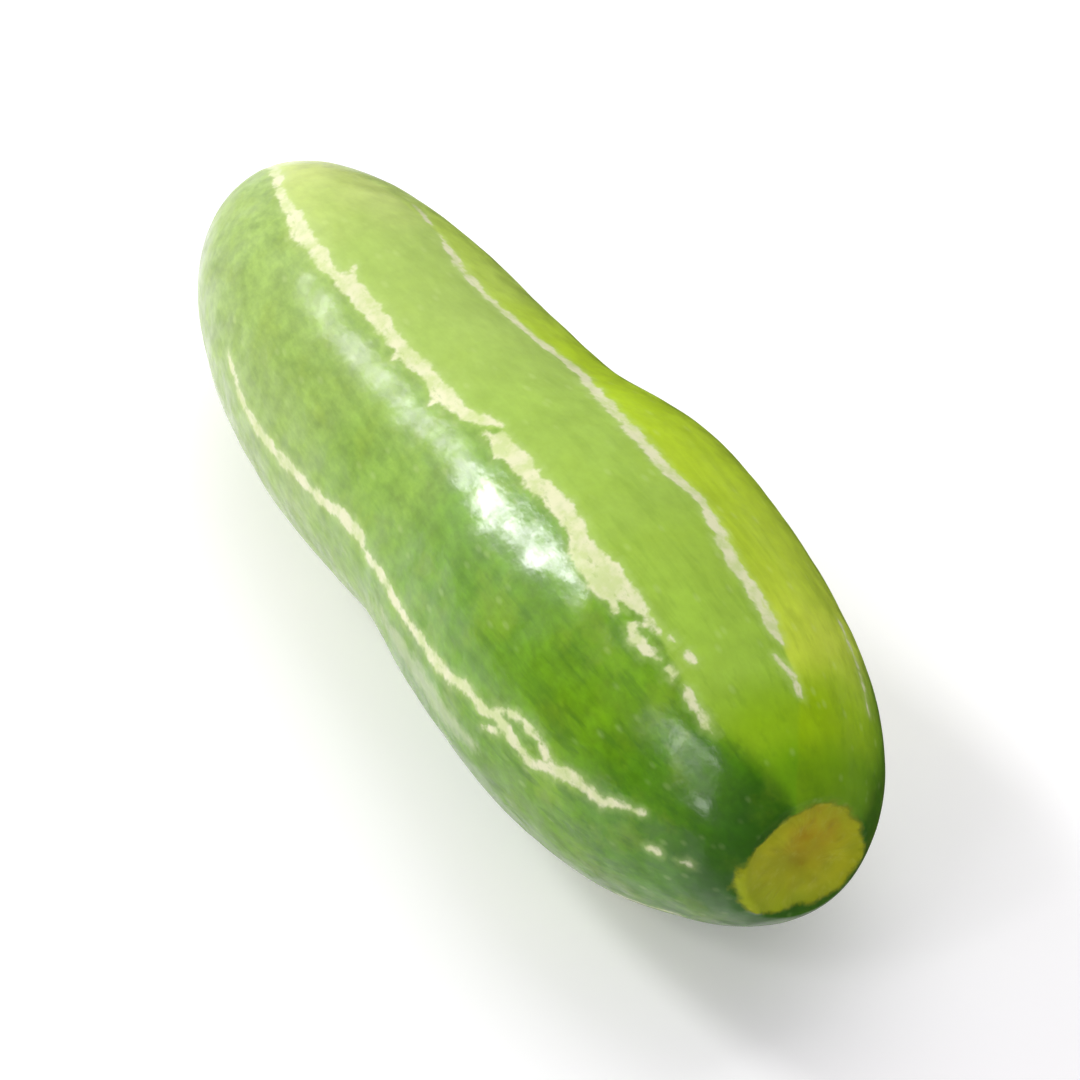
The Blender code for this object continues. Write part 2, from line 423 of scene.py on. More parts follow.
# %% Reach from each end
SCAR_SIZE = 3.42 * MM
SCAR_MIDDLE = (-0.17 * MM, 0.44 * MM)
SCAR_WAVES = ((2.0, 0.10, 0.015), (3.0, -0.046, -0.035))
OFF_THE_SCAR = 9.0
OFF_THE_TIP = 99.0
scar_y = radius * np.cos(np.radians(side)) - SCAR_MIDDLE[0]
scar_z = radius * np.sin(np.radians(side)) - SCAR_MIDDLE[1]
scar_turn = np.arctan2(scar_z, scar_y)
scar_oval = 1.0 + sum(a * np.cos(n * scar_turn) + b * np.sin(n * scar_turn) for n, a, b in SCAR_WAVES)
scar_reach = np.hypot(scar_y, scar_z) / (SCAR_SIZE * scar_oval)
scar_reach = np.where(along > 0.0, np.minimum(scar_reach, OFF_THE_SCAR), OFF_THE_SCAR)
tip_reach = np.where(along < 0.0, radius / MM, OFF_THE_TIP)
print("points on the scar and the tip:", int((scar_reach < 1.0).sum()), int((tip_reach < 1.0).sum()))

# %% [markdown]
# The small relief
#
# A smooth ellipse shines like plastic. The real skin is a little lumpy, with shallow dimples a few
# millimetres wide and finer ripples along its length, and those break up every highlight. A
# displacement texture would do, but sums of cosine waves in random directions are quick to work
# out, have no seam anywhere on the fruit, and give exactly the size of lump that is asked for.

# %% Relief of the skin
LUMPS = ((7.0 * MM, 0.036 * MM), (3.0 * MM, 0.009 * MM), (1.5 * MM, 0.0030 * MM))
RIPPLE_SIZE = 1.5 * MM
RIPPLE_HEIGHT = 0.0022 * MM
RIPPLE_STRETCH = np.array((0.22, 1.0, 1.0))
STRIPE_SINK = 0.020 * MM
WAVES = 26
WAVE_LENGTHS = (0.8, 1.3)
RELIEF_SEED = 12
relief_random = np.random.default_rng(RELIEF_SEED)


def waves(points, size):
    """Lumps of about one size: the mean of cosines of the distance along random directions."""
    directions = relief_random.normal(size=(WAVES, 3))
    directions /= np.linalg.norm(directions, axis=1)[:, None]
    lengths = size * relief_random.uniform(*WAVE_LENGTHS, WAVES)
    phases = relief_random.uniform(0.0, 2.0 * math.pi, WAVES)
    turns = points @ (directions * (2.0 * math.pi / lengths)[:, None]).T + phases
    return np.cos(turns).sum(axis=-1) * math.sqrt(2.0 / WAVES)


on_skin = step_up(scar_reach, 0.98, 1.12)
relief = sum(height * waves(skin, size) for size, height in LUMPS)
relief = relief + RIPPLE_HEIGHT * waves(skin * RIPPLE_STRETCH, RIPPLE_SIZE)
relief = (relief - STRIPE_SINK * step_up(stripe_depth, -0.15 * MM, 0.15 * MM)) * on_skin
print("skin relief, mm:", (relief.min() / MM).round(3), "to", (relief.max() / MM).round(3))

# %% [markdown]
# The stem scar
#
# When the fruit is picked the stalk snaps off and leaves a round olive scar, a little dished, with
# a torn corky edge. Inside it are the ends of the veins, a ring of small dots, round a sunk
# centre, and faint fibres run outwards. It is part of the same skin, so it is made on the same
# grid by raising and sinking points, with the ring of dots as a bell curve across the ring times
# a wave round it. A rusty part and a greener part are marked for the colours to come.

# %% Veins and fibres of the scar
# Reaches are parts of the scar's own size, and turns go round its middle
VEINS = 9
VEIN_RING = 0.60
VEIN_SIZE = 0.10
FIBRES = 26
TORN_SIZE = 1.4 * MM
scar_turn = scar_turn + 0.5 * np.sin(3.0 * scar_turn + 1.0) + 0.2 * np.sin(5.0 * scar_turn)
torn_edge = waves(skin, TORN_SIZE)
on_scar = 1.0 - step_up(scar_reach, 0.93, 1.02)
wavy_ring = VEIN_RING + 0.06 * np.sin(2.0 * scar_turn + 0.6)
vein_dots = np.exp(-(((scar_reach - wavy_ring) / VEIN_SIZE) ** 2))
vein_dots = vein_dots * np.clip(np.cos(VEINS * scar_turn), 0.0, 1.0) ** 2
fibres = np.cos(FIBRES * scar_turn + 2.0 * torn_edge) * step_up(scar_reach, 0.2, 0.5)
print("largest vein dot:", round(float((vein_dots * on_scar).max()), 2))

# %% Relief of the scar
# Heights in mm
TORN_HEIGHT = 0.035
FIBRE_HEIGHT = 0.006
VEIN_HEIGHT = 0.03
PITH_DEPTH = 0.10
PITH_SIZE = 0.24
TORN_LIP = 0.03
TORN_LIP_REACH = 0.985
TORN_LIP_WIDTH = 0.05
pith = np.exp(-((scar_reach / PITH_SIZE) ** 2))
lip = np.exp(-(((scar_reach - TORN_LIP_REACH) / TORN_LIP_WIDTH) ** 2))
scar_relief = TORN_HEIGHT * torn_edge + FIBRE_HEIGHT * fibres + VEIN_HEIGHT * vein_dots - PITH_DEPTH * pith
scar_relief = on_scar * scar_relief + lip * (TORN_LIP + TORN_HEIGHT * torn_edge)
relief = relief + scar_relief * MM
print("scar relief, mm:", scar_relief.min().round(3), "to", scar_relief.max().round(3))

# %% Rusty and green parts of the scar
RUST_MIDDLE = (0.32, 0.45)
RUST_SIZE = (0.45, 0.38)
GREEN_EDGE = (-0.1 * SCAR_SIZE, 0.9 * SCAR_SIZE)
rust_y = (scar_y / SCAR_SIZE - RUST_MIDDLE[0]) / RUST_SIZE[0]
rust_z = (scar_z / SCAR_SIZE - RUST_MIDDLE[1]) / RUST_SIZE[1]
rust_patch = np.exp(-(rust_y**2) - rust_z**2)
green_patch = step_up(-0.6 * scar_y - 0.8 * scar_z, *GREEN_EDGE)
print("rusty share of the scar:", round(float(rust_patch[scar_reach < 1.0].mean()), 2))

# %% [markdown]
# The dry tip
#
# At the other end the flower withered and left a brown crumb with a ragged rim and a pit in its
# middle. It could be a piece of its own, but on a picked fruit it is only a scab on the skin, so
# it is raised from the same grid too: a ring with uneven teeth round a small hollow.

# %% Relief of the tip
# In mm, as tip_reach is
TIP_RIM = 0.85
TIP_RIM_WIDTH = 0.26
TIP_RIM_HEIGHT = 0.16
TIP_PIT_SIZE = 0.45
TIP_PIT_DEPTH = 0.22
round_tip = np.radians(side)
tip_teeth = 1.0 + 0.45 * np.cos(5.0 * round_tip) + 0.35 * np.cos(13.0 * round_tip + 0.7)
tip_ring = np.exp(-(((tip_reach - TIP_RIM) / TIP_RIM_WIDTH) ** 2)) * tip_teeth
tip_pit = np.exp(-((tip_reach / TIP_PIT_SIZE) ** 2))
tip_relief = TIP_RIM_HEIGHT * tip_ring - TIP_PIT_DEPTH * tip_pit
relief = relief + tip_relief * MM
print("tip relief, mm:", tip_relief.min().round(3), "to", tip_relief.max().round(3))

# %% [markdown]
# Laying it down
#
# The relief moves each point along the skin's own normal, which comes from the cross product of
# the two directions of the grid. Then the fruit is laid on the table as the solid is: the line
# that touches both swellings from below becomes level, and the fruit sinks a little to its flats.
# Last, its box is fitted over the solid's box, so that size and place are the frame's.

# %% Normals, settling and placing
def grid_normals(points):
    """Unit normals of a grid: the cross product of the steps between rings and between sides."""
    down = np.gradient(points, axis=0)
    across = np.roll(points, -1, axis=1) - np.roll(points, 1, axis=1)
    normal = np.cross(down, across)
    return normal / np.linalg.norm(normal, axis=-1, keepdims=True)


def ground_line(points):
    """Slope and height of the line under both swellings: of all that join a ring's lowest point on
    one side of the waist to one on the other, the line that is lowest at the waist."""
    lowest = points[np.arange(points.shape[0]), points[..., 2].argmin(axis=1)]
    bloom = lowest[lowest[:, 0] < WAIST_X]
    stem = lowest[lowest[:, 0] > WAIST_X]
    slope = (stem[None, :, 2] - bloom[:, 2, None]) / (stem[None, :, 0] - bloom[:, 0, None])
    at_waist = bloom[:, 2, None] + slope * (WAIST_X - bloom[:, 0, None])
    chosen = np.unravel_index(at_waist.argmin(), at_waist.shape)
    return slope[chosen], at_waist[chosen]


ground_slope, ground_height = ground_line(skin)
raised = skin + relief[..., None] * grid_normals(skin)
ends = raised[[0, -1]].mean(axis=1)
points = np.concatenate((ends, raised.reshape(-1, 3)))
points[:, 2] -= ground_height + ground_slope * (points[:, 0] - WAIST_X) + FLAT_DEPTH
points[:, 2] = np.maximum(points[:, 2], 0.0)
size_ratio = (high - low) / (points.max(axis=0) - points.min(axis=0))
fruit_middle = low - points.min(axis=0) * size_ratio
points = fruit_middle + points * size_ratio
print("slope", round(float(ground_slope), 4), "fitted to the solid by", size_ratio.round(4))

# %% The skin's mesh
def grid_faces(rings, sides):
    """Quads between neighbouring rings, and a fan of triangles from each pole.

    Point 0 is the stem pole, point 1 the blossom pole, and ring r, side s is 2 + r * sides + s.
    """
    ring, column = np.meshgrid(np.arange(rings - 1), np.arange(sides), indexing="ij")
    following = (column + 1) % sides
    first = 2 + ring * sides
    corners = (first + column, first + sides + column, first + sides + following, first + following)
    quads = np.stack(corners, axis=-1)
    turn = np.arange(sides)
    last = 2 + (rings - 1) * sides
    stem_fan = np.stack((np.zeros(sides, int), 2 + turn, 2 + (turn + 1) % sides), axis=-1)
    tip_fan = np.stack((np.ones(sides, int), last + (turn + 1) % sides, last + turn), axis=-1)
    return quads.reshape(-1, 4).tolist() + stem_fan.tolist() + tip_fan.tolist()


def mesh_piece(name, places, faces):
    """A smooth shaded mesh object at the origin."""
    mesh = bpy.data.meshes.new(name)
    mesh.from_pydata(places.tolist(), [], faces)
    mesh.shade_smooth()
    mesh.validate()
    piece = bpy.data.objects.new(name, mesh)
    bpy.context.scene.collection.objects.link(piece)
    return piece


gourd_skin = mesh_piece("gourd_fruit", points, grid_faces(*along.shape))
print("triangles:", 2 * along.size)

# %% Numbers on the points
NO_STRIPE = -9.0
POLE_RUST = 0.3
length_share = (along + BLOOM_HALF) / (BLOOM_HALF + STEM_HALF)

# What each point keeps: name, values on the grid, value at the stem pole and at the blossom pole
kept_numbers = (
    ("along", length_share, 1.0, 0.0),
    ("stripe_depth", stripe_depth / MM, NO_STRIPE, NO_STRIPE),
    ("faint_depth", faint_depth / MM, NO_STRIPE, NO_STRIPE),
    ("lime", lime, 0.0, 0.0),
    ("yellow", gold, 0.0, 0.0),
    ("wax", wax, 0.0, 1.0),
    ("scar_reach", scar_reach, 0.0, OFF_THE_SCAR),
    ("scar_dots", vein_dots * on_scar, 0.0, 0.0),
    ("scar_rust", rust_patch * on_scar, POLE_RUST, 0.0),
    ("scar_green", green_patch * on_scar, 0.0, 0.0),
    ("tip_reach", tip_reach, OFF_THE_TIP, 0.0),
)
for name, grid_values, stem_value, tip_value in kept_numbers:
    values = np.concatenate(((stem_value, tip_value), grid_values.ravel()))
    layer = gourd_skin.data.attributes.new(name, "FLOAT", "POINT")
    layer.data.foreach_set("value", values.astype(np.float32))
print("numbers on each point:", len(kept_numbers))

# %% [markdown]
# Nodes in short
#
# A finish in Blender is a graph of nodes. Written out one by one it fills pages, so a few helpers
# add the nodes that a painted skin needs again and again: arithmetic, soft steps, colour ramps,
# colour mixes and noise. Each takes numbers or the outputs of other nodes.

# %% Nodes for numbers
def new_finish(name):
    """A material with an empty graph but for the shader and the output."""
    material = bpy.data.materials.new(name)
    material.use_nodes = True
    return material, material.node_tree, material.node_tree.nodes["Principled BSDF"]


def feed(tree, socket, value):
    """Link an output to a socket, or set the socket to a plain value."""
    if isinstance(value, bpy.types.NodeSocket):
        tree.links.new(value, socket)
    else:
        socket.default_value = value


def set_shader(tree, shader, values):
    """Feed the named sockets of a shader."""
    for name, value in values.items():
        feed(tree, shader.inputs[name], value)


def sum_of(tree, operation, first, second, third=0.0):
    """One Math node. Only some of its operations use the third number."""
    node = tree.nodes.new("ShaderNodeMath")
    node.operation = operation
    for socket, number in zip(node.inputs, (first, second, third)):
        feed(tree, socket, number)
    return node.outputs[0]


def soft_step(tree, value, start, stop, low_value=0.0, high_value=1.0):
    """A smooth change from one value to another while the input goes from start to stop."""
    node = tree.nodes.new("ShaderNodeMapRange")
    node.interpolation_type = "SMOOTHSTEP"
    for socket, number in zip(node.inputs[:5], (value, start, stop, low_value, high_value)):
        feed(tree, socket, number)
    return node.outputs[0]


finish, tree, shader = new_finish("gourd_skin_finish")
print("finish started:", finish.name)

# %% Nodes for colours
def colour_ramp(tree, value, stops):
    """A ramp of colours through stops, each a position and red, green and blue."""
    node = tree.nodes.new("ShaderNodeValToRGB")
    ramp = node.color_ramp
    ramp.interpolation = "EASE"
    while len(ramp.elements) < len(stops):
        ramp.elements.new(0.5)
    for element, (position, *rgb) in zip(ramp.elements, stops):
        element.position = position
        element.color = (*rgb, 1.0)
    feed(tree, node.inputs[0], value)
    return node.outputs[0]


def colour_mix(tree, factor, first, second, mode="MIX"):
    """Two colours mixed by a factor."""
    node = tree.nodes.new("ShaderNodeMix")
    node.data_type = "RGBA"
    node.blend_type = mode
    feed(tree, node.inputs[0], factor)
    feed(tree, node.inputs[6], first)
    feed(tree, node.inputs[7], second)
    return node.outputs[2]


print("shader starts with roughness", round(shader.inputs["Roughness"].default_value, 2))

# %% Nodes for places
def on_point(tree, name):
    """The number kept on the points under that name."""
    node = tree.nodes.new("ShaderNodeAttribute")
    node.attribute_name = name
    return node.outputs["Fac"]


def noise(tree, place, size, detail=2.0, rough=0.5):
    """Soft noise from 0 to 1 whose blots are about that size."""
    node = tree.nodes.new("ShaderNodeTexNoise")
    feed(tree, node.inputs["Vector"], place)
    node.inputs["Scale"].default_value = 1.0 / size
    node.inputs["Detail"].default_value = detail
    node.inputs["Roughness"].default_value = rough
    return node.outputs["Fac"]


def object_place(tree, stretch=(1.0, 1.0, 1.0)):
    """The point's place on the piece, with each direction scaled."""
    place = tree.nodes.new("ShaderNodeTexCoord").outputs["Object"]
    node = tree.nodes.new("ShaderNodeMapping")
    tree.links.new(place, node.inputs["Vector"])
    node.inputs["Scale"].default_value = stretch
    return node.outputs["Vector"]


place = object_place(tree)
grain = object_place(tree, (0.50, 1.0, 1.0))
print("nodes so far:", len(tree.nodes))

# %% [markdown]
# The greens along the fruit
#
# The real skin is palest at the blossom end and deepens towards the stem. One ramp for each of the
# three greens gives that, read along the fruit. Large soft noise shifts the place where the ramp
# is read, so that the change is patchy and not a clean gradient.

# %% Greens
LEAF = ((0.02, 0.28, 0.41, 0.090), (0.30, 0.270, 0.41, 0.072), (0.48, 0.220, 0.38, 0.042),
        (0.62, 0.13, 0.295, 0.006), (0.80, 0.140, 0.310, 0.000), (0.90, 0.080, 0.23, 0.000),
        (0.965, 0.036, 0.145, 0.000))
LIME = ((0.02, 0.57, 0.66, 0.22), (0.30, 0.385, 0.53, 0.125), (0.55, 0.345, 0.51, 0.088),
        (0.75, 0.32, 0.49, 0.055), (0.87, 0.32, 0.51, 0.050), (0.92, 0.27, 0.47, 0.006),
        (0.96, 0.155, 0.37, 0.000))
YELLOW = ((0.02, 0.56, 0.68, 0.27), (0.22, 0.49, 0.65, 0.110), (0.50, 0.45, 0.63, 0.020),
          (0.75, 0.45, 0.60, 0.035), (0.86, 0.56, 0.69, 0.055), (0.92, 0.31, 0.50, 0.000),
          (0.96, 0.18, 0.36, 0.000))
PATCH_SIZE = 7.0 * MM
PATCH_SHIFT = 0.06
patches = noise(tree, place, PATCH_SIZE, 3.0)
wander = sum_of(tree, "MULTIPLY", soft_step(tree, patches, 0.2, 0.8, -PATCH_SHIFT, PATCH_SHIFT),
                soft_step(tree, on_point(tree, "along"), 0.76, 0.92, 1.0, 0.2))
ramp_place = sum_of(tree, "ADD", on_point(tree, "along"), wander)
skin_colour = colour_ramp(tree, ramp_place, LEAF)
skin_colour = colour_mix(tree, on_point(tree, "lime"), skin_colour, colour_ramp(tree, ramp_place, LIME))
skin_colour = colour_mix(tree, on_point(tree, "yellow"), skin_colour, colour_ramp(tree, ramp_place, YELLOW))
print("greens:", len(LEAF), len(LIME), len(YELLOW), "stops")

# %% [markdown]
# Mottling, flecks and streaks
#
# Close up the green is never even. There are clouds of lighter and darker cells a millimetre or
# two wide, small pale flecks, and fine dark streaks along the fruit that thicken near the stem.
# Each is a noise of its own size laid over the green, weak enough that the eye takes it for skin.
# The lime and the yellow are smoother than the leaf green, so they get only a third of it.

# %% Mottling
CLOUD_SIZE = 2.2 * MM
CELL_SIZE = 0.50 * MM
WARM_SIZE = 3.0 * MM
WARM_GREEN = (0.33, 0.46, 0.02, 1.0)
pale_sides = sum_of(tree, "ADD", on_point(tree, "lime"), on_point(tree, "yellow"))
mottled = soft_step(tree, pale_sides, 0.0, 1.0, 1.0, 0.35)
clouds = noise(tree, place, CLOUD_SIZE, 4.0, 0.6)
cells = noise(tree, grain, CELL_SIZE, 3.0, 0.6)
cloud_shade = soft_step(tree, clouds, 0.25, 0.75, 0.84, 1.16)
cell_shade = soft_step(tree, cells, 0.25, 0.75, 0.88, 1.13)
skin_colour = colour_mix(tree, mottled, skin_colour, cloud_shade, "MULTIPLY")
skin_colour = colour_mix(tree, mottled, skin_colour, cell_shade, "MULTIPLY")
warm = noise(tree, place, WARM_SIZE, 4.0, 0.6)
warm_part = sum_of(tree, "MULTIPLY", mottled, soft_step(tree, warm, 0.48, 0.68, 0.0, 0.22))
skin_colour = colour_mix(tree, warm_part, skin_colour, WARM_GREEN)
print("clouds and cells, mm:", round(CLOUD_SIZE / MM, 2), round(CELL_SIZE / MM, 2))

# %% Flecks and streaks
FLECK_SPACING = 1.0 * MM
FLECK_GREEN = (0.66, 0.76, 0.34, 1.0)
STREAK_SIZE = 0.8 * MM
STREAK_STRETCH = (0.10, 1.0, 1.0)
STREAK_GREEN = (0.035, 0.13, 0.006, 1.0)
flecks = tree.nodes.new("ShaderNodeTexVoronoi")
flecks.inputs["Scale"].default_value = 1.0 / FLECK_SPACING
tree.links.new(grain, flecks.inputs["Vector"])
fleck_dot = soft_step(tree, flecks.outputs["Distance"], 0.24, 0.06, 0.0, 0.13)
skin_colour = colour_mix(tree, fleck_dot, skin_colour, FLECK_GREEN)
streaks = noise(tree, object_place(tree, STREAK_STRETCH), STREAK_SIZE, 3.0, 0.65)
near_stem = soft_step(tree, on_point(tree, "along"), 0.45, 0.95, 0.10, 0.42)
near_stem = sum_of(tree, "MULTIPLY", near_stem, mottled)
streak_mark = sum_of(tree, "MULTIPLY", soft_step(tree, streaks, 0.52, 0.34), near_stem)
skin_colour = colour_mix(tree, streak_mark, skin_colour, STREAK_GREEN)
print("flecks every", FLECK_SPACING / MM, "mm")

# %% [markdown]
# The stripes' colour
#
# Each stripe is creamy in its middle, ragged at its edge, and shades off into the green through a
# narrow paler margin. The points carry how deep in a stripe they lie. Noise of two sizes is added
# to that depth before it is cut, so the edge frays finer than the mesh could draw it. The faint
# strand is cut twice as raggedly and only a little of its cream is mixed in.

# %% Stripes
STRIPE_CREAM = (0.73, 0.73, 0.47, 1.0)
STRIPE_GREENISH = (0.57, 0.65, 0.29, 1.0)
MARGIN_GREEN = (0.50, 0.63, 0.22, 1.0)
FAINT_CREAM = (0.68, 0.70, 0.48, 1.0)
depth = on_point(tree, "stripe_depth")
ragged = sum_of(tree, "ADD", soft_step(tree, noise(tree, place, 0.95 * MM, 2.0), 0.2, 0.8, -0.17, 0.17),
                soft_step(tree, noise(tree, place, 0.35 * MM, 2.0), 0.2, 0.8, -0.07, 0.07))
frayed_depth = sum_of(tree, "ADD", depth, ragged)
cream_part = soft_step(tree, frayed_depth, -0.16, 0.10)
islands = soft_step(tree, noise(tree, grain, 0.45 * MM, 3.0, 0.6), 0.56, 0.74, 1.0, 0.55)
cream_part = sum_of(tree, "MULTIPLY", cream_part, islands)
margin = soft_step(tree, frayed_depth, -0.60, 0.05, 0.0, 0.34)
cream_tone = soft_step(tree, noise(tree, place, 1.3 * MM, 3.0, 0.6), 0.38, 0.66)
faint_place = sum_of(tree, "ADD", on_point(tree, "faint_depth"), sum_of(tree, "MULTIPLY", ragged, 2.0))
faint_part = soft_step(tree, faint_place, -0.5, 0.5, 0.0, 0.38)
stripe_colour = colour_mix(tree, cream_tone, STRIPE_CREAM, STRIPE_GREENISH)
skin_colour = colour_mix(tree, faint_part, skin_colour, FAINT_CREAM)
skin_colour = colour_mix(tree, margin, skin_colour, MARGIN_GREEN)
skin_colour = colour_mix(tree, cream_part, skin_colour, stripe_colour)
print("stripe cream:", STRIPE_CREAM[:3])

# %% [markdown]
# The scar's and the tip's colour
#
# The scar is olive yellow, browner at its vein ends and in its middle, rusty where it dried first
# and greener low down, and the skin just outside it is the darkest green of all. The tip is a dry
# brown. A painted image would do for so small a spot. But both can read how far each point is from
# the end's middle, and noise added to that reach frays the edge.

# %% Edge and collar of the scar
COLLAR_GREEN = (0.028, 0.105, 0.006, 1.0)
EDGE_GRAIN = 0.9 * MM
SCAR_FRAY = 0.06
edge_noise = noise(tree, place, EDGE_GRAIN, 4.0, 0.6)
reach = on_point(tree, "scar_reach")
reach = sum_of(tree, "ADD", reach, soft_step(tree, edge_noise, 0.2, 0.8, -SCAR_FRAY, SCAR_FRAY))
collar = sum_of(tree, "MULTIPLY", soft_step(tree, reach, 1.80, 1.05, 0.0, 0.55), mottled)
skin_colour = colour_mix(tree, collar, skin_colour, COLLAR_GREEN)
scar_part = soft_step(tree, reach, 1.06, 0.96)
print("the scar's edge frays by", SCAR_FRAY, "of its reach")

# %% Colours inside the scar
OLIVE = ((0.05, 0.29, 0.26, 0.004), (0.30, 0.36, 0.35, 0.005), (0.70, 0.40, 0.41, 0.006),
         (0.92, 0.34, 0.37, 0.003), (1.0, 0.17, 0.22, 0.001))
SCAR_GREEN = (0.27, 0.38, 0.012, 1.0)
RUST = (0.38, 0.24, 0.004, 1.0)
RUST_GRAIN = 1.5 * MM
VEIN_BROWN = (0.20, 0.17, 0.01, 1.0)
DULL_OLIVE = (0.26, 0.30, 0.01, 1.0)
PALE_OLIVE = (0.46, 0.47, 0.06, 1.0)
rust_noise = soft_step(tree, noise(tree, place, RUST_GRAIN, 3.0, 0.6), 0.35, 0.65, 0.35, 1.2)
rust = sum_of(tree, "MULTIPLY_ADD", on_point(tree, "scar_rust"), 0.80, 0.08)
rust = sum_of(tree, "MULTIPLY", rust_noise, rust)
green_part = sum_of(tree, "MULTIPLY", on_point(tree, "scar_green"), 0.55)
dots = sum_of(tree, "MULTIPLY", on_point(tree, "scar_dots"), 0.22)
dull_part = soft_step(tree, clouds, 0.45, 0.70, 0.0, 0.35)
pale_part = soft_step(tree, cells, 0.50, 0.75, 0.0, 0.3)
scar_layers = ((green_part, SCAR_GREEN), (rust, RUST), (dots, VEIN_BROWN),
               (dull_part, DULL_OLIVE), (pale_part, PALE_OLIVE))
scar_colour = colour_ramp(tree, reach, OLIVE)
for part, tone in scar_layers:
    scar_colour = colour_mix(tree, part, scar_colour, tone)
skin_colour = colour_mix(tree, scar_part, skin_colour, scar_colour)
print("layers in the scar:", len(scar_layers))

# %% Colours of the tip
TIP_FRAY = 0.35
TIP_DARK = (0.10, 0.045, 0.012, 1.0)
TIP_LIGHT = (0.26, 0.15, 0.05, 1.0)
TIP_STAIN = (0.42, 0.44, 0.10, 1.0)
tip_far = on_point(tree, "tip_reach")
tip_far = sum_of(tree, "ADD", tip_far, soft_step(tree, edge_noise, 0.2, 0.8, -TIP_FRAY, TIP_FRAY))
tip_part = soft_step(tree, tip_far, 1.30, 0.95)
stain = soft_step(tree, tip_far, 2.6, 1.2, 0.0, 0.5)
tip_colour = colour_mix(tree, soft_step(tree, cells, 0.35, 0.65), TIP_DARK, TIP_LIGHT)
skin_colour = colour_mix(tree, stain, skin_colour, TIP_STAIN)
skin_colour = colour_mix(tree, tip_part, skin_colour, tip_colour)
print("the tip's edge frays by", TIP_FRAY, "mm")

# %% [markdown]
# Wax, gloss and pores
#
# Fresh skin has a broad soft sheen from its wax and, over it, small sharp glints where it is moist.
# One roughness can't be both, so the base is fairly rough and a thin clear coat gives the glints.
# The bloom of wax takes most of the coat away, and the scar and the tip are dry cork, with none.
# Bump adds only what is finer than the mesh: pores and cells under a millimetre. A little light
# passes into the flesh.

# %% Gloss
COAT_ROUGHNESS = 0.18
GLOSS_GRAIN = 1.4 * MM
dry = sum_of(tree, "MAXIMUM", scar_part, tip_part)
gloss_noise = noise(tree, place, GLOSS_GRAIN, 3.0, 0.6)
skin_rough = soft_step(tree, gloss_noise, 0.3, 0.7, 0.34, 0.48)
shader_rough = sum_of(tree, "ADD", skin_rough, sum_of(tree, "MULTIPLY", dry, 0.30))
moist = soft_step(tree, on_point(tree, "wax"), 0.0, 0.9, 1.25, 0.42)
coat = sum_of(tree, "MULTIPLY", sum_of(tree, "SUBTRACT", 1.0, dry),
              sum_of(tree, "MULTIPLY", moist, soft_step(tree, gloss_noise, 0.35, 0.65, 0.78, 0.40)))
print("coat roughness:", COAT_ROUGHNESS)

# %% Pores and the shader's sockets
PORE_SIZE = 0.75 * MM
PORE_DEPTH = 0.016 * MM
pores = sum_of(tree, "ADD", noise(tree, place, PORE_SIZE, 2.0), sum_of(tree, "MULTIPLY", cells, 0.5))
bump = tree.nodes.new("ShaderNodeBump")
bump.inputs["Strength"].default_value = 1.0
bump.inputs["Distance"].default_value = PORE_DEPTH
tree.links.new(pores, bump.inputs["Height"])
set_shader(tree, shader, {
    "Base Color": skin_colour, "Roughness": shader_rough, "Coat Weight": coat,
    "Normal": bump.outputs["Normal"], "Coat Normal": bump.outputs["Normal"],
    "Coat Roughness": COAT_ROUGHNESS, "Specular IOR Level": 0.20, "Subsurface Weight": 0.18,
    "Subsurface Radius": (1.0, 1.0, 0.35), "Subsurface Scale": 0.7 * MM,
})
gourd_skin.data.materials.append(finish)
print("nodes in the finish:", len(tree.nodes))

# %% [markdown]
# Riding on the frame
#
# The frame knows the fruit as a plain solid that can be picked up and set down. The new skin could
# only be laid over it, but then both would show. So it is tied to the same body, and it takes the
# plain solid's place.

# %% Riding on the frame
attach(gourd_skin, "root")
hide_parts("gourd")
print("gourd fruit rides on the root")

# %% [markdown]
# The table
#
# The fruit lies on plain white. A backdrop could curve up behind it, but the camera looks down, so
# one wide flat sheet at the height of the resting spots fills the view, and its light returned from
# below is what makes the lower edge of the fruit pale. It glows a little, so that it stays white: this
# glow is painted light, which also pales the shadows on it.

# %% Table
TABLE_HALF = 1.5
TABLE_GLOW = 0.16
TABLE_GRAIN = 1.5 * MM
SQUARE = np.array(((-1.0, -1.0, 0.0), (1.0, -1.0, 0.0), (1.0, 1.0, 0.0), (-1.0, 1.0, 0.0)))
table_height = np.array((0.0, 0.0, low[2]))
table = mesh_piece("table_top", SQUARE * TABLE_HALF + table_height, [(0, 1, 2, 3)])
table_finish, table_tree, table_shader = new_finish("table_white")
table_grain = noise(table_tree, object_place(table_tree), TABLE_GRAIN, 2.0)
table_white = colour_mix(table_tree, table_grain, (0.90, 0.90, 0.90, 1.0), (0.91, 0.91, 0.91, 1.0))
set_shader(table_tree, table_shader, {
    "Base Color": table_white, "Roughness": 0.85, "Specular IOR Level": 0.2,
    # Painted light: the glow pales the table's shadows, and its faint violet tint takes the green out of
    # them
    "Emission Color": (1.0, 0.88, 1.06, 1.0), "Emission Strength": TABLE_GLOW,
})
table.data.materials.append(table_finish)
print("table", 2.0 * TABLE_HALF, "m wide")

# %% [markdown]
# The light
#
# The glints on the top left shoulder say where the main light was: a long window, high on the left.
# A sun and a sky would be simpler, but a shiny skin mirrors its surroundings, so each mark in it is
# a soft box of that size in that direction: the window, a thin bright strip beside it for the
# sharpest glint, a small pane next to it, a pale wall low on the left for the edge, and a dim wall
# with three panes in front for the marks near the scar. A very large box overhead and a weak sky
# keep the shadows soft and pale, and don't show in reflections. Lights are set by the brightness of
# their face, and their power follows from it: pi times area times brightness.

# %% A soft box
LIT_PLACE = Vector((0.0, 0.0, 10.0 * MM))


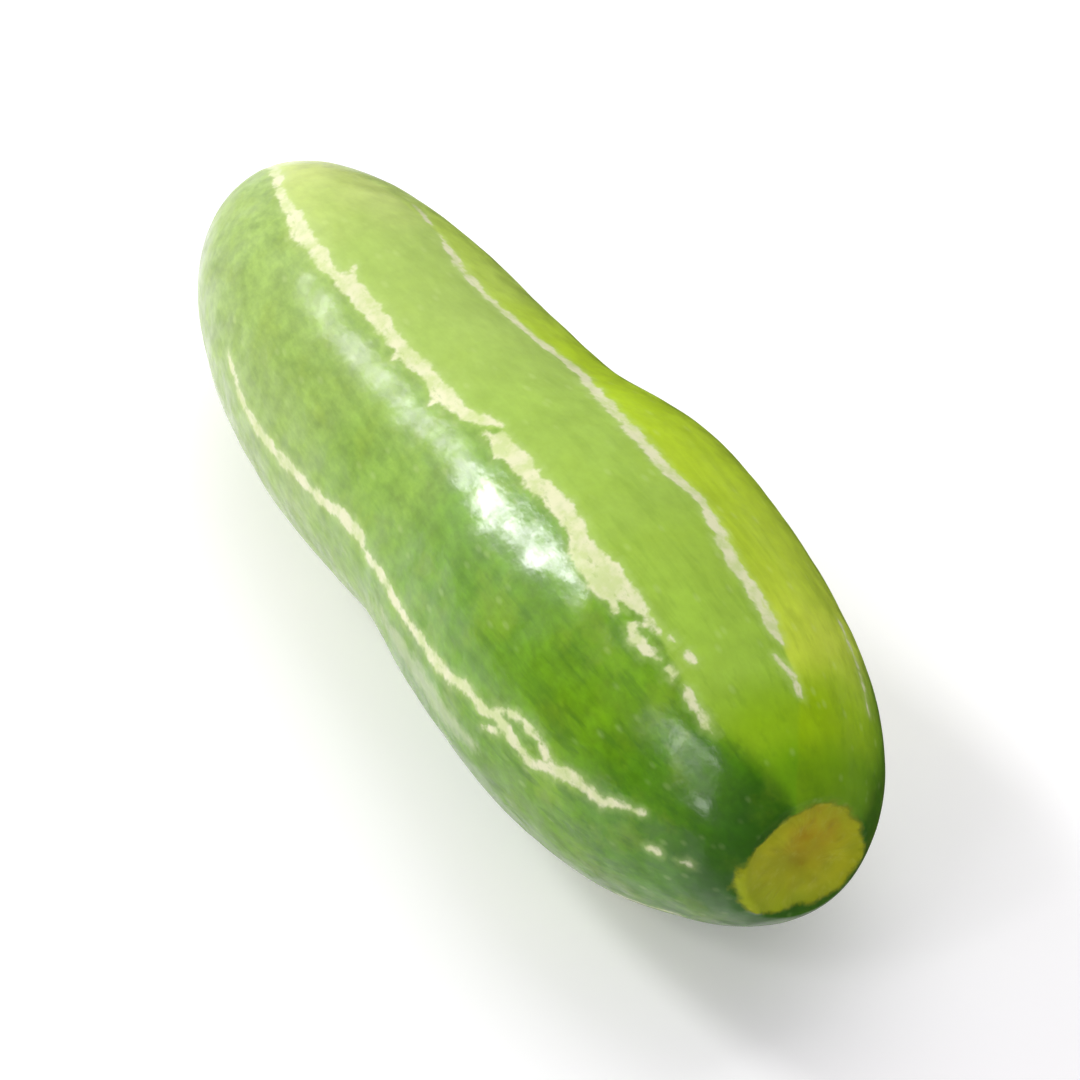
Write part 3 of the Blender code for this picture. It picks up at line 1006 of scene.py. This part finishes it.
def soft_box(name, direction, distance, width, height, brightness, long_way):
    """A rectangular light that faces the fruit from that direction, its width turned the long way."""
    data = bpy.data.lights.new(name, "AREA")
    data.shape = "RECTANGLE"
    data.size = width
    data.size_y = height
    data.energy = math.pi * width * height * brightness
    light = bpy.data.objects.new(name, data)
    bpy.context.scene.collection.objects.link(light)
    towards = Vector(direction).normalized()
    width_axis = (Vector(long_way) - towards * towards.dot(Vector(long_way))).normalized()
    turn = Matrix((width_axis, towards.cross(width_axis), towards)).transposed()
    light.matrix_world = Matrix.Translation(LIT_PLACE + towards * distance) @ turn.to_4x4()
    light.visible_camera = False
    return light


print("the lights face a point", round(LIT_PLACE.z / MM, 1), "mm over the table")

# %% Lights
UPRIGHT = (0.0, 0.0, 1.0)
LENGTHWISE = (1.0, 0.0, 0.0)
WINDOW_WAY = (0.64, -0.06, 0.77)
WALL_WAY = (-0.34, 0.90, 0.0)
GLINT_COLOUR = (1.12, 0.84, 1.35)

# Each box: name, direction from the fruit, distance, width and height in metres, brightness, long way
SOFT_BOXES = (
    ("window_light", (-0.728, -0.371, 0.575), 0.60, 0.31, 0.10, 15.5, WINDOW_WAY),
    ("pale_wall", (-0.90, -0.34, 0.26), 0.80, 0.90, 0.42, 0.8, WALL_WAY),
    ("window_glint", (-0.762, -0.374, 0.529), 0.61, 0.17, 0.05, 11.0, WINDOW_WAY),
    ("window_side", (-0.535, -0.481, 0.695), 0.60, 0.12, 0.12, 3.4, UPRIGHT),
    ("front_wall", (0.14, -0.71, 0.68), 0.70, 0.27, 0.38, 1.4, UPRIGHT),
    ("front_pane_left", (0.12, -0.68, 0.73), 0.60, 0.17, 0.07, 6.0, UPRIGHT),
    ("front_pane_right", (0.27, -0.54, 0.81), 0.60, 0.07, 0.12, 6.0, UPRIGHT),
    ("front_pane_low", (0.38, -0.84, 0.40), 0.60, 0.10, 0.08, 7.0, UPRIGHT),
    ("overhead_light", (-0.39, 0.43, 0.81), 0.90, 0.90, 0.90, 1.95, LENGTHWISE),
)
lights = {box[0]: soft_box(*box) for box in SOFT_BOXES}
lights["window_glint"].data.color = GLINT_COLOUR
lights["window_glint"].visible_diffuse = False
lights["overhead_light"].visible_glossy = False
print("lights:", list(lights))

# %% Weak sky
SKY_STRENGTH = 0.37
world = bpy.data.worlds.new("pale_room")
bpy.context.scene.world = world
world.use_nodes = True
sky = world.node_tree.nodes["Background"]
sky.inputs["Color"].default_value = (1.0, 1.0, 1.0, 1.0)
sky.inputs["Strength"].default_value = SKY_STRENGTH
world.cycles_visibility.glossy = False
print("sky strength:", SKY_STRENGTH)

# %% [markdown]
# The dark card
#
# White all round would leave a white haze on the far edge of a shiny fruit. A darker table would
# cure that but spoil the picture. A photographer lays a dark card on that side instead, and the edge
# goes deep green. This one is a painted reflection of shade: its dark green glow stands for the shade
# behind the fruit and past the stem end, and it is seen in reflections only. It lies on the table
# behind the fruit and past the stem end, and fades out where it comes near. Towards the stem end a
# weak part of it stays over the whole table, a painted reflection of the shade in front.

# %% Dark card
CARD_HALF = 0.60
CARD_LIFT = np.array((0.0, 0.0, 0.3 * MM))
# Painted reflection of shade: the card's dark green glow, mirrored in the far edge and the stem end
SHADE_REFLECTION_GREEN = (0.06, 0.09, 0.015, 1.0)
card = mesh_piece("dark_card", SQUARE * CARD_HALF + table_height + CARD_LIFT, [(0, 1, 2, 3)])
card_finish, card_tree, card_shader = new_finish("painted_shade_reflection")
spot = card_tree.nodes.new("ShaderNodeSeparateXYZ")
card_tree.links.new(object_place(card_tree), spot.inputs[0])
behind = sum_of(card_tree, "MULTIPLY_ADD", spot.outputs["X"], 0.15, spot.outputs["Y"])
beyond = sum_of(card_tree, "MULTIPLY_ADD", spot.outputs["Y"], 0.35, spot.outputs["X"])
covers = sum_of(card_tree, "MAXIMUM", soft_step(card_tree, behind, 3.0 * MM, 13.0 * MM),
                soft_step(card_tree, beyond, 24.0 * MM, 36.0 * MM))
# Painted reflection of shade in front: towards the stem end the card covers 0.05 to 0.28 of the whole table
front_shade_reflection = soft_step(card_tree, spot.outputs["X"], -10.0 * MM, 14.0 * MM, 0.05, 0.28)
covers = sum_of(card_tree, "MAXIMUM", covers, front_shade_reflection)
set_shader(card_tree, card_shader, {
    "Base Color": (0.0, 0.0, 0.0, 1.0), "Specular IOR Level": 0.0,
    "Emission Color": SHADE_REFLECTION_GREEN, "Emission Strength": 1.0, "Alpha": covers,
})
card.data.materials.append(card_finish)
for kind_of_ray in ("camera", "diffuse", "transmission", "volume_scatter", "shadow"):
    setattr(card, "visible_" + kind_of_ray, False)
print("card", 2.0 * CARD_HALF, "m wide")

# %% [markdown]
# The camera
#
# The camera looks down at 45 degrees, from the right of the stem end, as the photographer did. A
# long lens from over half a metre keeps the fruit's proportions flat, as a product shot has
# them. The framing is closer than the photograph's, a square round the one fruit.

# %% Camera
VIEW_AZIMUTH = math.radians(60.0)
VIEW_ELEVATION = math.radians(45.0)
CAMERA_DISTANCE = 0.633
PHOTO_SQUARE = 415
PHOTO_CENTRE = (244.5, 701.5)
FRUIT_PIXEL = (253.97, 708.40)
PIXELS_PER_MM = 7.38
RING_HEIGHT = 11.40 * MM
SENSOR = 36.0
CLIP_START = 0.01

back = Vector((math.sin(VIEW_AZIMUTH) * math.cos(VIEW_ELEVATION),
               -math.cos(VIEW_AZIMUTH) * math.cos(VIEW_ELEVATION), math.sin(VIEW_ELEVATION)))
right = Vector((math.cos(VIEW_AZIMUTH), math.sin(VIEW_AZIMUTH), 0.0))
up = back.cross(right)
widest_ring = Vector((fruit_middle[0], fruit_middle[1], RING_HEIGHT))
print("widest ring, mm:", [round(value / MM, 3) for value in widest_ring])
aim = widest_ring + right * ((PHOTO_CENTRE[0] - FRUIT_PIXEL[0]) / PIXELS_PER_MM * MM)
aim = aim - up * ((PHOTO_CENTRE[1] - FRUIT_PIXEL[1]) / PIXELS_PER_MM * MM)
camera_data = bpy.data.cameras.new("camera")
camera_data.sensor_width = SENSOR
camera_data.lens = SENSOR * CAMERA_DISTANCE / (PHOTO_SQUARE / PIXELS_PER_MM * MM)
camera_data.clip_start = CLIP_START
camera = bpy.data.objects.new("camera", camera_data)
bpy.context.scene.collection.objects.link(camera)
axes = Matrix((right, up, back)).transposed()
camera.matrix_world = Matrix.Translation(aim + back * CAMERA_DISTANCE) @ axes.to_4x4()
bpy.context.scene.camera = camera
print("lens, mm:", round(camera_data.lens, 1))

# %% [markdown]
# Colour and noise
#
# Blender's film-like view would wash out the greens. The standard one shows each colour as it was
# set, and white as white. A denoiser cleans the last grain out of the soft shadows.

# %% Colour and noise
scene = bpy.context.scene
scene.view_settings.view_transform = "Standard"
scene.cycles.use_denoising = True
print("view transform:", scene.view_settings.view_transform)
